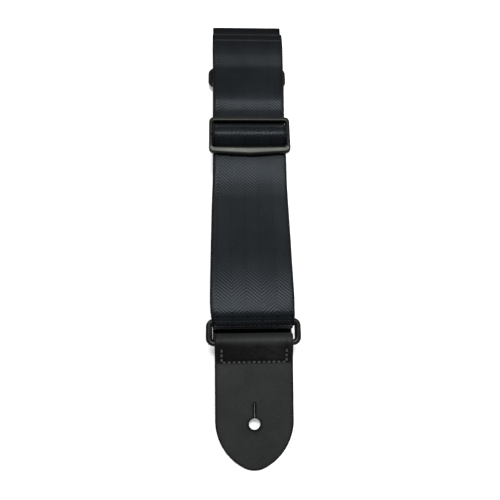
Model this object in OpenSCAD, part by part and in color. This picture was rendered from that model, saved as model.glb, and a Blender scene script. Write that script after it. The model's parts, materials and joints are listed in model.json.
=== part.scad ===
// Adjustable guitar strap of 2 inch seat-belt webbing with two leather ends, folded flat for storage.
// The strap lies on the plane z = 0, front leather end towards -Y, face up. X runs across the webbing.

/* [Webbing] */
// Width of the webbing
webbing_w = 49.8; // [48:0.1:50.2]
// Thickness of the webbing
webbing_t = 1.2; // [1:0.1:1.3]

/* [Rings] */
// Outside width of each rectangular ring
ring_w = 58; // [58:0.1:62]
// Distance between the centres of a ring's two bars
ring_pitch = 13; // [13:0.1:15]
// Diameter of a ring's rod
rod_d = 3.6; // [3:0.1:3.6]
// Outside radius of a ring's corners
ring_corner = 5; // [4:0.5:6]
// Slope of the front ring below the horizontal
front_ring_slope = 7; // [0:1:12]

/* [Slider] */
// Outside width of the slider
slider_w = 54.8; // [54.8:0.1:60]
// Thickness of the slider's frame
slider_t = 3.8; // [3:0.1:4]
// Width of the slider's side bars
slider_side = 2.8; // [2:0.1:2.8]
// Clear length of the slider's window along the strap
slider_window = 19.4; // [19:0.2:22]
// Width of the bar that faces the top fold
slider_far_bar = 3; // [3:0.1:5]
// Width of the pointed bar at its ends
slider_near_bar = 4.2; // [3:0.1:6]
// How much wider the pointed bar is in its middle
slider_point = 1.7; // [0:0.1:3]
// Diameter of the slider's centre bar
slider_bar_d = 3; // [2.6:0.1:3.2]
// Place of the slider's centre bar along the strap
slider_y = 57.1; // [40:0.1:70]

/* [Leather ends] */
// Width of a leather end
tab_w = 47.2; // [44:0.1:50]
// Thickness of the leather
leather_t = 2; // [1.8:0.1:2]
// Length from the ring's bar to the leather's tip
tab_l = 74.8; // [70:0.1:90]
// Length of the pointed end
tab_nose = 30; // [26:1:36]
// Length of the folded-back flap behind the ring
flap_l = 14; // [13:0.5:28]
// Room between the ring's bar and the leather around it
tab_slack = 0.8; // [0.5:0.1:0.8]
// Diameter of the button hole
hole_d = 6.8; // [6:0.1:9]
// Distance from the hole's centre to the leather's tip
hole_to_tip = 27.2; // [24:0.5:30]
// Length of the slit above the hole
slit_l = 10; // [6:0.5:14]
// Width of the slit
slit_w = 0.5; // [0.3:0.1:0.6]

/* [Folds] */
// Each fold's centre along Y, its height, and its radius to the middle of the webbing
fold_1 = [141.0, 20.3, 2.0];
// Second fold, at the front end
fold_2 = [-68.0, 11.5, 3.6];
// Third fold, the one that reaches furthest back
fold_3 = [152.2, 15.7, 1.0];
// Fourth fold, at the front end on the resting plane
fold_4 = [-77.0, 3.2, 2.6];
// Fifth fold, above the rear ring
fold_5 = [146.0, 10.2, 2.9];
// Centre of the front ring's bar that the webbing goes round
front_bar = [-68.8, 21.0];
// Centre of the rear ring's bar that the webbing goes round
rear_bar = [124.3, 4.6];

/* [Stitching] */
// Length of one stitch
stitch_l = 2.3; // [1.5:0.1:3]
// Distance between stitches in a row
stitch_pitch = 3.2; // [2.6:0.1:4]
// Thickness of the thread
thread_d = 0.5; // [0.3:0.1:0.6]

/* [Hidden] */

webbing_colour = [0.14, 0.16, 0.19];
plastic_colour = [0.1, 0.1, 0.1];
leather_colour = [0.17, 0.175, 0.17];
thread_colour = [0.07, 0.07, 0.07];

gap = 0.3;            // room between a moving piece and its neighbour
ply_gap = 0.2;        // room between two plies that are sewn together
hair = 0.05;          // room between a stitch and the face that it lies on
seam_edge = 4;        // from the webbing's edge to the first stitch of a cross row
seam_end = 3;         // from a sewn ply's end to the cross row beside it
arc_step = 10;        // degrees between two points of an arc
rod_r = rod_d / 2;
slider_bar_r = slider_bar_d / 2;
wrap_r = rod_r + gap + webbing_t / 2;   // webbing round a ring's bar, to its middle

// The webbing runs like a belt round these circles. A radius above 0 turns it clockwise, seen from +X
// with +Y to the right, and one below 0 turns it the other way.
front_wrap = [front_bar.x, front_bar.y, wrap_r];
turn_1 = fold_1;
turn_2 = [fold_2.x, fold_2.y, -fold_2.z];
turn_3 = fold_3;
turn_4 = [fold_4.x, fold_4.y, -fold_4.z];
turn_5 = fold_5;
rear_wrap = [rear_bar.x, rear_bar.y, -wrap_r];

// Unit vector at an angle, and the same turned a quarter to the left
function along(a) = [cos(a), sin(a)];
function left_of(a) = [-sin(a), cos(a)];

// Direction of the straight stretch from one turn to the next
function heading(from, to) =
    let (d = [to.x - from.x, to.y - from.y])
    atan2(d.y, d.x) - asin((from.z - to.z) / norm(d));

// Where the belt touches a turn's circle while it runs in direction a
function touch(turn, a) = [turn.x, turn.y] + turn.z * left_of(a);

// Direction b, written so that the turn's own sense leads from a to b
function turned(turn, a, b) =
    turn.z > 0 ? a - ((a - b) % 360 + 360) % 360 : a + ((b - a) % 360 + 360) % 360;

// Points of the belt round a turn, from direction a to direction b
function turn_path(turn, a, b) =
    let (stop = turned(turn, a, b), n = ceil(abs(stop - a) / arc_step))
    [for (i = [0:n]) touch(turn, a + (stop - a) * i / n)];

// Direction of a path at its i-th point
function path_heading(path, i) =
    let (
        before = path[max(i - 1, 0)],
        here = path[i],
        after = path[min(i + 1, len(path) - 1)],
        arriving = i == 0 ? after - here : here - before,
        leaving = i == len(path) - 1 ? here - before : after - here,
        mean = arriving / norm(arriving) + leaving / norm(leaving)
    )
    atan2(mean.y, mean.x);

// Outline of a strip of thickness t whose middle follows a path
function strip(path, t) =
    let (n = len(path))
    concat(
        [for (i = [0:n - 1]) path[i] + t / 2 * left_of(path_heading(path, i))],
        [for (i = [n - 1:-1:0]) path[i] - t / 2 * left_of(path_heading(path, i))]
    );

// Points on an arc round c, from angle a to angle b
function arc(c, r, a, b) =
    let (n = ceil(abs(b - a) / arc_step))
    [for (i = [0:n]) c + r * along(a + (b - a) * i / n)];

// A shape drawn in Y and Z, made w wide across X
module across(w) {
    rotate([90, 0, 90]) linear_extrude(w, center = true) children();
}

// A piece of webbing whose middle follows a path in Y and Z
module webbing(path, w = webbing_w) {
    color(webbing_colour) across(w) polygon(strip(path, webbing_t));
}

// Webbing round a turn, from direction a to direction b
module webbing_round(turn, a, b) {
    sweep = turned(turn, a, b) - a;
    start = turn.z > 0 ? a + 90 + sweep : a - 90;
    color(webbing_colour) translate([0, turn.x, turn.y]) rotate([90, 0, 90]) rotate([0, 0, start])
        rotate_extrude(angle = abs(sweep), $fn = 72)
            translate([abs(turn.z) - webbing_t / 2, -webbing_w / 2]) square([webbing_t, webbing_w]);
}

// Straight stretch of webbing between two turns
module webbing_between(from, to) {
    a = heading(from, to);
    webbing([touch(from, a), touch(to, a)]);
}

// Puts a piece drawn round the origin, lying along Y, at a place in Y and Z and tilts it
module placed(at, tilt) {
    translate([0, at.x, at.y]) rotate([tilt, 0, 0]) children();
}

front_heading = heading(front_wrap, turn_1);
heading_1 = heading(turn_1, turn_2);
heading_2 = heading(turn_2, turn_3);
heading_3 = heading(turn_3, turn_4);
heading_4 = heading(turn_4, turn_5);
rear_heading = heading(turn_5, rear_wrap);

// Webbing between the front ring and the top fold, and the folded layers under it
module webbing_front() { webbing_between(front_wrap, turn_1); }
module webbing_fold_1() { webbing_round(turn_1, front_heading, heading_1); }
module webbing_layer_1() { webbing_between(turn_1, turn_2); }
module webbing_fold_2() { webbing_round(turn_2, heading_1, heading_2); }
module webbing_layer_2() { webbing_between(turn_2, turn_3); }
module webbing_fold_3() { webbing_round(turn_3, heading_2, heading_3); }
module webbing_layer_3() { webbing_between(turn_3, turn_4); }
module webbing_fold_4() { webbing_round(turn_4, heading_3, heading_4); }
module webbing_layer_4() { webbing_between(turn_4, turn_5); }
module webbing_fold_5() { webbing_round(turn_5, heading_4, rear_heading); }

// Place of the slider's centre line on the middle of the front webbing
front_start = touch(front_wrap, front_heading);
slider_at = front_start + (slider_y - front_start.x) / cos(front_heading) * along(front_heading);
slider_bar_up = 1.5 * webbing_t + gap + ply_gap + slider_bar_r;   // centre bar above the webbing's middle
slider_down = webbing_t / 2 + gap + hair;   // underside of the frame above the webbing's middle

// The webbing's tail runs from the front ring to the slider, under the front webbing and beside it for the
// slider's whole travel. Its sewn end lies under it.
beside_l = 92;
sewn_l = 22;
under_front = [0, -webbing_t - ply_gap];
tail_end = slider_at + under_front - 2 * slider_bar_d * along(front_heading);
tail_knee = tail_end - beside_l * along(front_heading);
tail_wrap = [front_bar.x, front_bar.y, -wrap_r];
tail_heading = heading(tail_wrap, [tail_knee.x, tail_knee.y, 0]);
module webbing_tail() { webbing([touch(tail_wrap, tail_heading), tail_knee, tail_end]); }
module webbing_ring_wrap() {
    webbing_round(front_wrap, tail_heading - 180, front_heading);
}
module webbing_sewn_end() {
    end = tail_end + under_front;
    webbing([end - sewn_l * along(front_heading), end]);
}

// Webbing inside the slider: the tail's loop round the centre bar, and the strap's hump over it
slider_webbing_w = slider_w - 2 * slider_side - 2 * ply_gap;
module webbing_slider_loop() {
    r = slider_bar_r + ply_gap;
    placed(slider_at, front_heading) translate([0, 0, slider_bar_up])
        color(webbing_colour) rotate([0, 90, 0]) difference() {
            cylinder(h = slider_webbing_w, r = r + webbing_t, center = true, $fn = 48);
            cylinder(h = slider_webbing_w + 1, r = r, center = true, $fn = 48);
        }
}
bridge_foot = 1.3;    // room between the hump's foot and the slider's far and near bars
module webbing_slider_bridge() {
    r = slider_bar_r + 2 * ply_gap + 1.5 * webbing_t;
    foot = [slider_window / 2 - bridge_foot, webbing_t + gap];
    over = arc([0, slider_bar_up], r, 160, 20);
    placed(slider_at, front_heading)
        webbing(concat([[-foot.x, foot.y]], over, [foot]), slider_webbing_w);
}

// Outline of the slider's frame in X and Y, with a point in the middle of its near side
slider_corner = 3;
module slider_outline() {
    x = slider_w / 2 - slider_corner;
    far = slider_window / 2 + slider_far_bar - slider_corner;
    near = -slider_window / 2 - slider_near_bar + slider_corner;
    polygon(concat(
        arc([x, far], slider_corner, 0, 90),
        arc([-x, far], slider_corner, 90, 180),
        arc([-x, near], slider_corner, 180, 270),
        [[0, near - slider_corner - slider_point]],
        arc([x, near], slider_corner, 270, 360)
    ));
}
module slider_frame() {
    color(plastic_colour) placed(slider_at, front_heading) {
        translate([0, 0, slider_down]) linear_extrude(slider_t) difference() {
            slider_outline();
            square([slider_w - 2 * slider_side, slider_window], center = true);
        }
        translate([0, 0, slider_bar_up]) rotate([0, 90, 0])
            cylinder(h = slider_w - slider_side, d = slider_bar_d, center = true, $fn = 48);
    }
}

// One rectangular ring of round rod, drawn with one bar on the X axis and the other at -Y
ring_x = ring_w / 2 - rod_r;
bend_r = ring_corner - rod_r;
module rod(l) { rotate([0, 90, 0]) cylinder(h = l, d = rod_d, center = true, $fn = 48); }
module ring() {
    color(plastic_colour) translate([0, -ring_pitch / 2, 0]) {
        for (side = [-1, 1]) {
            translate([0, side * ring_pitch / 2, 0]) rod(2 * (ring_x - bend_r));
            translate([side * ring_x, 0, 0]) rotate([0, 0, 90]) rod(ring_pitch - 2 * bend_r);
            for (end = [-1, 1])
                translate([side * (ring_x - bend_r), end * (ring_pitch / 2 - bend_r), 0])
                    rotate([0, 0, side > 0 ? (end > 0 ? 0 : -90) : (end > 0 ? 90 : 180)])
                        rotate_extrude(angle = 90, $fn = 48)
                            translate([bend_r, 0]) circle(d = rod_d, $fn = 48);
        }
    }
}
front_tab_bar = front_bar - ring_pitch * along(front_ring_slope);
rear_tab_bar = rear_bar - [ring_pitch, 0];
module front_ring() { placed(front_bar, front_ring_slope) ring(); }
module rear_ring() { placed(rear_bar, 0) ring(); }

// One leather end, drawn from the bar's centre towards -Y: a loop round the bar, the face ply above the
// middle and the sewn flap below it
loop_out = rod_r + tab_slack + leather_t;
loop_in = rod_r + tab_slack;
loop_taper = 8.5;     // from the bar to where the two plies meet inside the loop
loop_shoulder = 10.5; // from the bar to where the plies lie flat outside it
hole_y = -(tab_l - hole_to_tip);

// Upper half of a drop shape, from its tip on the -Y side to the +Y side of a circle round the origin
function drop_top(r, tip) =
    let (a = atan2(tip.y, -tip.x), d = norm(tip), lean = acos(r / d))
    concat([tip], arc([0, 0], r, 180 - a - lean, 0));

module leather_profile() {
    meet = [-loop_taper, 0];
    face_end = [-loop_shoulder, leather_t];
    top = drop_top(loop_out, face_end);
    difference() {
        polygon(concat(
            [[-tab_l, 0], [-tab_l, leather_t]],
            top,
            [for (i = [len(top) - 1:-1:0]) [top[i].x, -top[i].y]],
            [[-flap_l, -leather_t], [-flap_l, 0]]
        ));
        inner = drop_top(loop_in, meet);
        polygon(concat(inner, [for (i = [len(inner) - 2:-1:1]) [inner[i].x, -inner[i].y]]));
    }
}

// Outline of a leather end in X and Y: straight sides and a nose of two wide arcs with a round tip
tip_r = 14;
module leather_outline() {
    half = tab_w / 2;
    // A side arc touches the straight side and the tip's circle
    reach = tab_nose - tip_r;
    side_r = (reach * reach + half * half - tip_r * tip_r) / (2 * (half - tip_r));
    blend = atan2(reach, side_r - half);
    shoulder = -tab_l + tab_nose;
    right = concat(
        arc([half - side_r, shoulder], side_r, 0, -blend),
        arc([0, -tab_l + tip_r], tip_r, -blend, -90)
    );
    polygon(concat(
        [[-half, loop_out + 1], [half, loop_out + 1]],
        right,
        [for (i = [len(right) - 2:-1:0]) [-right[i].x, right[i].y]]
    ));
}
module leather_end() {
    color(leather_colour) difference() {
        intersection() {
            across(tab_w + 2) leather_profile();
            translate([0, 0, -loop_out - 1]) linear_extrude(2 * loop_out + 2) leather_outline();
        }
        // The bore that turns on the ring's bar
        rotate([0, 90, 0]) cylinder(h = tab_w + 1, r = loop_in, center = true, $fn = 64);
        translate([0, hole_y, -1]) cylinder(h = leather_t + 2, d = hole_d, $fn = 64);
        translate([-slit_w / 2, hole_y, -1]) cube([slit_w, hole_d / 2 + slit_l, leather_t + 2]);
    }
}
front_tab_slope = asin(front_tab_bar.y / tab_l);
rear_tab_slope = asin((rear_tab_bar.y - leather_t) / tab_l);
module front_leather_end() { placed(front_tab_bar, front_tab_slope) leather_end(); }
module rear_leather_end() { placed(rear_tab_bar, rear_tab_slope) mirror([0, 0, 1]) leather_end(); }

// Rows of stitches
module stitch_row(from, to, z) {
    run = to - from;
    n = round(norm(run) / stitch_pitch);
    for (i = [0:n - 1])
        translate([from.x + run.x * (i + 0.5) / n, from.y + run.y * (i + 0.5) / n, z])
            rotate([0, 0, atan2(run.y, run.x)])
                cube([stitch_l, thread_d, thread_d], center = true);
}

// Stitches of a leather end, on its face and on its flap, in a row near the flap's end
tab_seam_edge = 4.2;  // from the leather's side to the row's last stitch
tab_seam_end = 2;     // from the flap's end to the row
seam_x = tab_w / 2 - tab_seam_edge;
seam_y = -flap_l + tab_seam_end;
module leather_stitching() {
    color(thread_colour) for (face = [-1, 1])
        stitch_row([-seam_x, seam_y], [seam_x, seam_y], face * (leather_t + hair + thread_d / 2));
}
module front_end_stitching() { placed(front_tab_bar, front_tab_slope) leather_stitching(); }
module rear_end_stitching() { placed(rear_tab_bar, rear_tab_slope) leather_stitching(); }

// Rear end of the webbing: round the rear ring's bar and back against itself
rear_sewn_l = 12;
rear_rise = 9;        // from the bar to where the two plies lie together
module webbing_rear_end() {
    start = touch(turn_5, rear_heading);
    ply = start.y - webbing_t - ply_gap;
    webbing(concat(
        [start],
        turn_path(rear_wrap, rear_heading, 0),
        [[rear_bar.x + rear_rise, ply], [rear_bar.x + rear_rise + rear_sewn_l, ply]]
    ));
}

// Two cross rows of stitches on the outer faces of two sewn plies, drawn round the plies' middle
module seam_stitching(l) {
    color(thread_colour) for (face = [-1, 1]) {
        z = face * (webbing_t + ply_gap / 2 + hair + thread_d / 2);
        for (y = [-l / 2, l / 2])
            stitch_row([-webbing_w / 2 + seam_edge, y], [webbing_w / 2 - seam_edge, y], z);
    }
}
module rear_seam_stitching() {
    at = [rear_bar.x + rear_rise + rear_sewn_l / 2, touch(turn_5, rear_heading).y];
    placed(at - [0, (webbing_t + ply_gap) / 2], 0) seam_stitching(rear_sewn_l - 2 * seam_end);
}

// Stitches under the sewn end at the slider, on the face that shows
module slider_seam_stitching() {
    drop = 1.5 * webbing_t + ply_gap + hair + thread_d / 2;
    at = tail_end - sewn_l / 2 * along(front_heading) - [0, drop];
    color(thread_colour) placed(at, front_heading)
        for (y = [-sewn_l / 2 + seam_end, sewn_l / 2 - seam_end])
            stitch_row([-webbing_w / 2 + seam_edge, y], [webbing_w / 2 - seam_edge, y], 0);
}

webbing_tail();
webbing_ring_wrap();
webbing_front();
webbing_fold_1();
webbing_layer_1();
webbing_fold_2();
webbing_layer_2();
webbing_fold_3();
webbing_layer_3();
webbing_fold_4();
webbing_layer_4();
webbing_fold_5();
webbing_rear_end();
webbing_slider_bridge();
webbing_slider_loop();
webbing_sewn_end();
slider_frame();
front_ring();
rear_ring();
front_leather_end();
rear_leather_end();
front_end_stitching();
rear_end_stitching();
slider_seam_stitching();
rear_seam_stitching();
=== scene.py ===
"""Guitar strap of herringbone webbing with two leather ends, folded flat: looks, light and camera.

All lengths are in metres. The webbing is one long strip whose middle runs in the plane X = 0, and every
stretch of it is cut from one path, so its weave carries on from piece to piece.
"""
import json
import math
import random

import bmesh
import bpy
import numpy as np
from mathutils import Matrix, Vector


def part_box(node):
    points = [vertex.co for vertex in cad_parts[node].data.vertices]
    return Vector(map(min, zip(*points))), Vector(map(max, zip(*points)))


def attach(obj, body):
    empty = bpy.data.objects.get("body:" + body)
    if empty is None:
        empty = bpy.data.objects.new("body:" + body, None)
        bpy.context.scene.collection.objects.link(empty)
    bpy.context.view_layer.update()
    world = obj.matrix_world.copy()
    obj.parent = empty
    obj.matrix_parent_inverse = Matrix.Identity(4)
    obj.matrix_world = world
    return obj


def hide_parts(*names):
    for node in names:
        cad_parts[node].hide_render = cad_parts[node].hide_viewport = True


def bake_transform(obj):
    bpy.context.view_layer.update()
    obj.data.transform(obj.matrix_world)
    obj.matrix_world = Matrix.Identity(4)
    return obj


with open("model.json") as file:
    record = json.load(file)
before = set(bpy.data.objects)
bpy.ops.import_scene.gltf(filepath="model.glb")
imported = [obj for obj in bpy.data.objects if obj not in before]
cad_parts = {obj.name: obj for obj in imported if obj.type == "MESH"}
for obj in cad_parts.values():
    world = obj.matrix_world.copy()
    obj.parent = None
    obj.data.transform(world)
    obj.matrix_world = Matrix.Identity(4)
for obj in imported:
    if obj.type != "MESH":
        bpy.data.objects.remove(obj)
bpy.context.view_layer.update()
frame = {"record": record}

MM = 0.001
random.seed(7)

# ---------------------------------------------------------------------------------------- the CAD's places
joints = {j["name"]: j for j in frame["record"]["behaviour"]["joints"]}


def joint_yz(name):
    """Place of a hinge's axis in Y and Z."""
    return np.array(joints[name]["pos_m"][1:], float)


def box(node):
    lo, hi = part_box(node)
    return np.array(lo, float), np.array(hi, float)


WEB_W = box("webbing_front")[1][0] - box("webbing_front")[0][0] + 0.4 * MM   # its soft edges stand proud
WEB_T = 1.2 * MM
ROD_R = (box("rear_ring")[1][2] - box("rear_ring")[0][2]) / 2
GAP = 0.3 * MM
WRAP_R = ROD_R + GAP + WEB_T / 2
FRONT_BAR = joint_yz("front_ring_hinge")
FRONT_TAB_BAR = joint_yz("front_leather_hinge")
REAR_BAR = joint_yz("rear_ring_hinge")
REAR_TAB_BAR = joint_yz("rear_leather_hinge")
FRAME_LO, FRAME_HI = box("slider_frame")
SIDE_WALL = 2.8 * MM                  # width of the slider's side bars
LOOP_LO, LOOP_HI = box("webbing_slider_loop")
SLIDER_Y = (LOOP_LO[1] + LOOP_HI[1]) / 2
SLIDER_BAR_Z = (LOOP_LO[2] + LOOP_HI[2]) / 2


def fold_radius(k):
    """Radius of a fold to the middle of the webbing."""
    lo, hi = box(f"webbing_fold_{k}")
    return (hi[2] - lo[2]) / 2 - WEB_T / 2


def turn(centre, radius):
    """A turn of the webbing: its centre, and its radius, above 0 for clockwise seen from +X."""
    return (np.array(centre, float), radius)


FRONT_WRAP = turn(FRONT_BAR, WRAP_R)
TURN_1 = turn(joint_yz("unfold_top"), fold_radius(1))
TURN_2 = turn(joint_yz("unfold_second"), -fold_radius(2))
TURN_3 = turn(joint_yz("unfold_third"), fold_radius(3))
TURN_4 = turn(joint_yz("unfold_bottom"), -fold_radius(4))
TURN_5 = turn(joint_yz("unfold_rear"), fold_radius(5))
REAR_WRAP = turn(REAR_BAR, -WRAP_R)


def heading(a, b):
    """Direction, in radians, of the straight stretch from turn a to turn b."""
    d = b[0] - a[0]
    return math.atan2(d[1], d[0]) - math.asin((a[1] - b[1]) / np.hypot(*d))


def unit(a):
    return np.array([math.cos(a), math.sin(a)])


def left_of(a):
    return np.array([-math.sin(a), math.cos(a)])


def ease(k):
    """0 to 1 with level ends."""
    return k * k * (3 - 2 * k)


def touch(t, a):
    """The point of turn t where the webbing runs in direction a."""
    return t[0] + t[1] * left_of(a)


def arc_points(t, a, b, step=math.radians(8)):
    """Points round a turn from direction a to direction b."""
    sweep = -((a - b) % math.tau) if t[1] > 0 else (b - a) % math.tau
    n = max(2, math.ceil(abs(sweep) / step))
    return [touch(t, a + sweep * i / n) for i in range(n + 1)]


H_FRONT = heading(FRONT_WRAP, TURN_1)
H_1 = heading(TURN_1, TURN_2)
H_2 = heading(TURN_2, TURN_3)
H_3 = heading(TURN_3, TURN_4)
H_4 = heading(TURN_4, TURN_5)
H_5 = heading(TURN_5, REAR_WRAP)


def smooth_curve(knots, values):
    """A smooth function through the knots, level at both ends (monotone cubic pieces)."""
    knots, values = np.array(knots, float), np.array(values, float)
    slope = np.zeros(len(knots))
    for i in range(1, len(knots) - 1):
        left = (values[i] - values[i - 1]) / (knots[i] - knots[i - 1])
        right = (values[i + 1] - values[i]) / (knots[i + 1] - knots[i])
        slope[i] = 0 if left * right <= 0 else 2 * left * right / (left + right)

    def f(x):
        x = min(max(x, knots[0]), knots[-1])
        i = min(max(int(np.searchsorted(knots, x)) - 1, 0), len(knots) - 2)
        h = knots[i + 1] - knots[i]
        t = (x - knots[i]) / h
        return (
            (2 * t**3 - 3 * t**2 + 1) * values[i]
            + (t**3 - 2 * t**2 + t) * h * slope[i]
            + (3 * t**2 - 2 * t**3) * values[i + 1]
            + (t**3 - t**2) * h * slope[i + 1]
        )

    return f


def curve_mm(pairs):
    """A smooth curve through pairs of (place, value) in millimetres."""
    return smooth_curve([a * MM for a, _ in pairs], [b * MM for _, b in pairs])


def stretch(a, b, rise=None, step=1.5 * MM):
    """Points of the straight stretch from a to b, lifted by rise(y)."""
    d = b - a
    n = max(2, math.ceil(np.hypot(*d) / step))
    out = []
    for i in range(n + 1):
        p = a + d * i / n
        if rise:
            p = p + np.array([0, rise(p[0])])
        out.append(p)
    return out


def distances(points):
    """Distance along a path at each of its points."""
    return np.concatenate([[0], np.cumsum(np.hypot(*np.diff(np.array(points, float), axis=0).T))])


def length_of(path):
    return float(distances(path)[-1])


def between(at, s, pts):
    """The values of pts, known at the distances s, at the distances at."""
    return np.column_stack([np.interp(at, s, pts[:, 0]), np.interp(at, s, pts[:, 1])])


def smoothed(points, rounds, step=0.6 * MM):
    """The same path at even steps with its corners rounded off, ends kept."""
    pts = np.array(points, float)
    s = distances(pts)
    pts = between(np.linspace(0, s[-1], max(2, math.ceil(s[-1] / step)) + 1), s, pts)
    for _ in range(rounds):
        pts[1:-1] = 0.25 * pts[:-2] + 0.5 * pts[1:-1] + 0.25 * pts[2:]
    return pts


# --------------------------------------------------------------------------------- the webbing's long path
FRONT_A, FRONT_B = touch(FRONT_WRAP, H_FRONT), touch(TURN_1, H_FRONT)


def front_line(y):
    """Height of the front run's straight line."""
    return FRONT_A[1] + (y - FRONT_A[0]) * math.tan(H_FRONT)


SLIDER_MID = front_line(SLIDER_Y)     # middle of the straight webbing under the slider
CUT = 12.5 * MM                       # from the slider's middle to where its own piece of webbing ends
BAR_UP = SLIDER_BAR_Z - SLIDER_MID
HUMP_HALF = 9.6 * MM
HUMP_UP = BAR_UP + 3.75 * MM

# How far the springy front webbing stands off its straight line: (Y, rise)
wave_low = curve_mm([
    (FRONT_A[0] / MM, 0), (-69.2, 1.1), (-68, 2.6), (-66.5, 3.6), (-64, 4.1), (-60, 4.3), (-54, 4.15), (-48, 3.75),
    (-40, 3.0), (-30, 1.85), (-20, 0.6), (-10, -0.45), (0, -1.2), (8, -1.65), (16, -1.95), (22, -1.9), (26, -1.7),
    (30, -1.3), (34, -0.8), (38, -0.35), (42, -0.1), (45, 0)])
wave_high = curve_mm([
    (69.5, 0), (77, 0.1), (81, 0.55), (86, 1.3), (91, 1.55), (98, 1.25), (105, 0.65), (112, 0.4), (118, 1.05),
    (124, 1.85), (128, 2.1), (134, 1.55), (139, 0.65), (FRONT_B[0] / MM + 4, -0.8)])


def front_wave(y):
    return wave_low(y) if y < SLIDER_Y else wave_high(y)


def tail_wave(y):
    """The tail dips with the front webbing, but stays down where that bulges."""
    z = front_wave(y)
    return z if z < 0 else 0.15 * z


def hump(y):
    """Rise of the webbing over the slider's centre bar."""
    u = (y - SLIDER_Y) / HUMP_HALF
    return HUMP_UP * (1 - abs(u) ** 2.5) ** 1.35 if abs(u) < 1 else 0.0


def layer_wave(depth, phase):
    """A faint wave for a hidden layer, nothing near its ends."""
    start, length = -60 * MM, 190 * MM

    def f(y):
        u = (y - start) / length
        return depth * math.sin(u * math.tau + phase) * math.sin(min(max(u, 0), 1) * math.pi) ** 2

    return f


Y_LOW, Y_HIGH = SLIDER_Y - CUT, SLIDER_Y + CUT
Y_TOP = FRONT_B[0] - 5 * MM           # where the top fold's own piece starts
Y_MID = 30 * MM                       # where hidden layers are cut
Y_REAR = 100 * MM


def front_between(a, b):
    """Points of the front run from Y = a to Y = b, with its wave and its hump."""
    n = max(3, math.ceil((b - a) / (1.2 * MM)))
    ys = np.linspace(a, b, n + 1)
    return [np.array([y, front_line(y) + front_wave(y) + hump(y)]) for y in ys]


def line_at(t, a, y):
    """Point at Y = y on the stretch that leaves or meets turn t in direction a."""
    p = touch(t, a)
    return p + unit(a) * (y - p[0]) / math.cos(a)


# The tail runs from under the ring's bar to the slider, this far below the front webbing
TAIL_Y = -60 * MM                     # where it has come down from the ring's bar
TAIL_DROP = 2.6 * MM
tail_z = curve_mm([(FRONT_BAR[0] / MM, 0), (TAIL_Y / MM, -TAIL_DROP / MM), (-48, -2.3), (-36, -2.6), (-20, -1.9),
                   (0, -1.85), (20, -1.75), (34, -1.6), (Y_LOW / MM, -1.45)])


def tail_point(y):
    if y < TAIL_Y:
        k = (y - FRONT_BAR[0]) / (TAIL_Y - FRONT_BAR[0])
        low = FRONT_BAR[1] - WRAP_R
        high = front_line(TAIL_Y) + tail_wave(TAIL_Y) - TAIL_DROP
        return np.array([y, low + (high - low) * ease(k)])
    return np.array([y, front_line(y) + tail_wave(y) + tail_z(y)])


tail = [tail_point(y) for y in np.linspace(FRONT_BAR[0], Y_LOW, 90)]
ring_end = tail[::-1] + arc_points(FRONT_WRAP, math.pi, H_FRONT)[1:]
lower_loop = ring_end + front_between(FRONT_A[0], Y_LOW)[1:]

# The tail's end goes round the slider's centre bar and is sewn down under itself
SEWN_L = 16.5 * MM
LOOP_R = 2.35 * MM
sewn_end = [tail_point(y) - np.array([0, WEB_T + 0.15 * MM]) for y in np.linspace(Y_LOW - SEWN_L, Y_LOW, 14)]
under, bar = np.array([SLIDER_Y, SLIDER_MID]), np.array([SLIDER_Y, SLIDER_BAR_Z])
loop_low = [under + MM * np.array(p) for p in ((-8.5, -2.75), (-6, -2.4), (-3.8, -1.2), (-2.3, 0.4))]
loop_round = [bar + LOOP_R * unit(math.radians(a)) for a in range(245, 510, 12)]
loop_high = [under + MM * np.array(p) for p in ((-3.9, 2.2), (-5.6, 0.2), (-7.6, -1.05), (-9.5, -1.4))]
sewn_loop = np.array(sewn_end + list(smoothed(
    [sewn_end[-1]] + loop_low + loop_round + loop_high + [tail_point(Y_LOW)], rounds=6))[1:])

layer_1 = layer_wave(0.25 * MM, 0.4)
layer_2 = layer_wave(0.10 * MM, 1.9)
layer_4 = layer_wave(-0.2 * MM, 0.9)


def folded(before, h_in, t, h_out, y_out, wave_in, wave_out):
    """From Y_MID on the stretch that leaves the turn before, round the turn t, to Y = y_out."""
    return (stretch(line_at(before, h_in, Y_MID), touch(t, h_in), wave_in)
            + arc_points(t, h_in, h_out)[1:]
            + stretch(touch(t, h_out), line_at(t, h_out, y_out), wave_out)[1:])


top_start = front_between(Y_TOP, FRONT_B[0])
top_fold = (
    top_start
    + arc_points(TURN_1, H_FRONT - math.radians(45), H_1)
    + stretch(touch(TURN_1, H_1), line_at(TURN_1, H_1, Y_MID), layer_1)[1:]
)
second_fold = folded(TURN_1, H_1, TURN_2, H_2, Y_MID, layer_1, layer_2)
third_fold = folded(TURN_2, H_2, TURN_3, H_3, Y_MID, layer_2, layer_2)
fourth_fold = folded(TURN_3, H_3, TURN_4, H_4, Y_REAR, layer_2, layer_4)
flap_z = touch(TURN_5, H_5)[1] - WEB_T - 0.2 * MM
rear_fold = (
    stretch(line_at(TURN_4, H_4, Y_REAR), touch(TURN_5, H_4))
    + arc_points(TURN_5, H_4, H_5)[1:]
    + stretch(touch(TURN_5, H_5), touch(REAR_WRAP, H_5))[1:]
    + arc_points(REAR_WRAP, H_5, 0)[1:]
    + list(smoothed([touch(REAR_WRAP, 0), (REAR_BAR[0] + 3 * MM, REAR_BAR[1] - WRAP_R + 0.5 * MM),
                     (REAR_BAR[0] + 8 * MM, flap_z - 0.2 * MM), (REAR_BAR[0] + 11 * MM, flap_z),
                     (REAR_BAR[0] + 21 * MM, flap_z)], rounds=5))[1:]
)

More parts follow.
